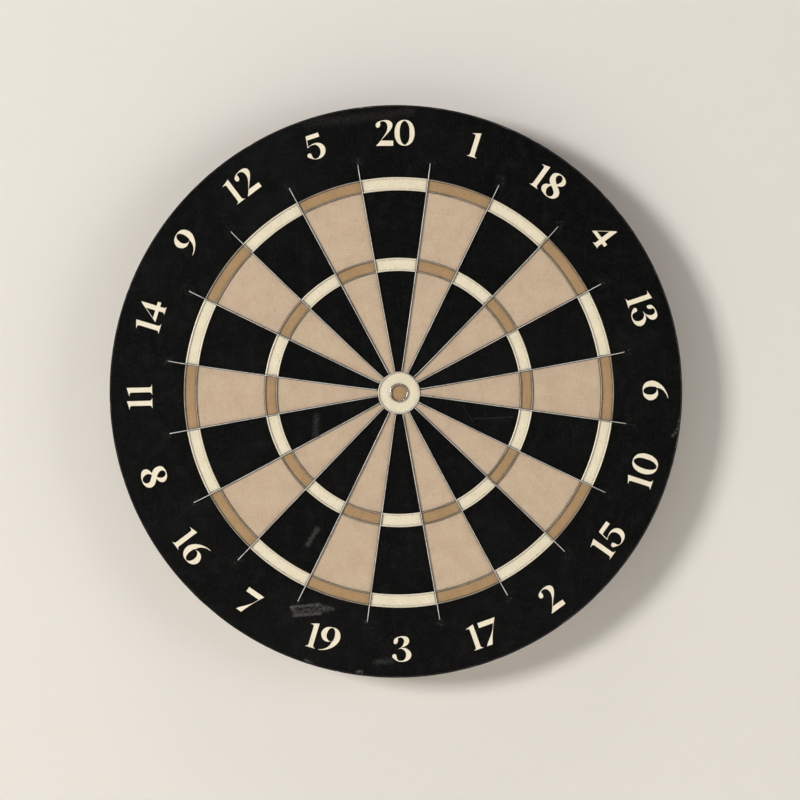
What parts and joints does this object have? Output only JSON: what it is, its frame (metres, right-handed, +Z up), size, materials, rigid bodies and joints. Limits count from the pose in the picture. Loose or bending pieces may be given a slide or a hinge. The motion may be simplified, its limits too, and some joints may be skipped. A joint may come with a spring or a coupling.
{
  "type": "magnetic dartboard",
  "caption": "Round wired dartboard with a steel sheet under its painted face, hung by a bolt and bush in a forked wall bracket.",
  "frame": {"origin": "middle of the wall bracket's screw holes, on the wall and on the board's own axis", "axes": "+Y out of the back into the wall, so the playing face looks along -Y; +Z up; +X to the right as a player sees it"},
  "size_m": [0.4509, 0.0397, 0.451],
  "materials": {
    "bracket_paint": "satin black paint",
    "bush_nylon": "natural nylon",
    "bolt_steel": "turned, zinc plated",
    "zinc_steel": "zinc plated",
    "back_board": "raw hardboard",
    "fibre_core": "pressed fibre",
    "target_steel": "cold rolled",
    "face_paint": "painted fibre, satin, printed fields",
    "band_paint": "satin black paint, worn at the edge",
    "wire_steel": "drawn and galvanised, dulled",
    "pad_rubber": "moulded, matt"
  },
  "bodies": {
    "bracket": {"wall_bracket": "bracket_paint"},
    "hanger": {"hanger_bush": "bush_nylon"},
    "board": {"hanger_bolt": "bolt_steel", "bolt_washer": "zinc_steel", "tee_nut": "zinc_steel", "back_board": "back_board", "fibre_core": "fibre_core", "steel_target_sheet": "target_steel", "face_sheet": "face_paint", "edge_band": "band_paint", "doubles_ring_outer": "wire_steel", "doubles_ring_inner": "wire_steel", "trebles_ring_outer": "wire_steel", "trebles_ring_inner": "wire_steel", "bull_ring_outer": "wire_steel", "bull_ring_inner": "wire_steel", "radial_wire_20_1": "wire_steel", "radial_wire_1_18": "wire_steel", "radial_wire_18_4": "wire_steel", "radial_wire_4_13": "wire_steel", "radial_wire_13_6": "wire_steel", "radial_wire_6_10": "wire_steel", "radial_wire_10_15": "wire_steel", "radial_wire_15_2": "wire_steel", "radial_wire_2_17": "wire_steel", "radial_wire_17_3": "wire_steel", "radial_wire_3_19": "wire_steel", "radial_wire_19_7": "wire_steel", "radial_wire_7_16": "wire_steel", "radial_wire_16_8": "wire_steel", "radial_wire_8_11": "wire_steel", "radial_wire_11_14": "wire_steel", "radial_wire_14_9": "wire_steel", "radial_wire_9_12": "wire_steel", "radial_wire_12_5": "wire_steel", "radial_wire_5_20": "wire_steel", "spacer_pad_top": "pad_rubber", "spacer_pad_left": "pad_rubber", "spacer_pad_right": "pad_rubber", "spacer_screws": "zinc_steel"}
  },
  "joints": [
    {"name": "board_lift", "type": "slide", "parent": "bracket", "child": "hanger", "axis": [0, 0, 1], "range_m": [0, 0.036]},
    {"name": "board_turn", "type": "hinge", "parent": "hanger", "child": "board", "pos_m": [0, -0.0097, 0], "axis": [0, 1, 0], "continuous": true}
  ]
}
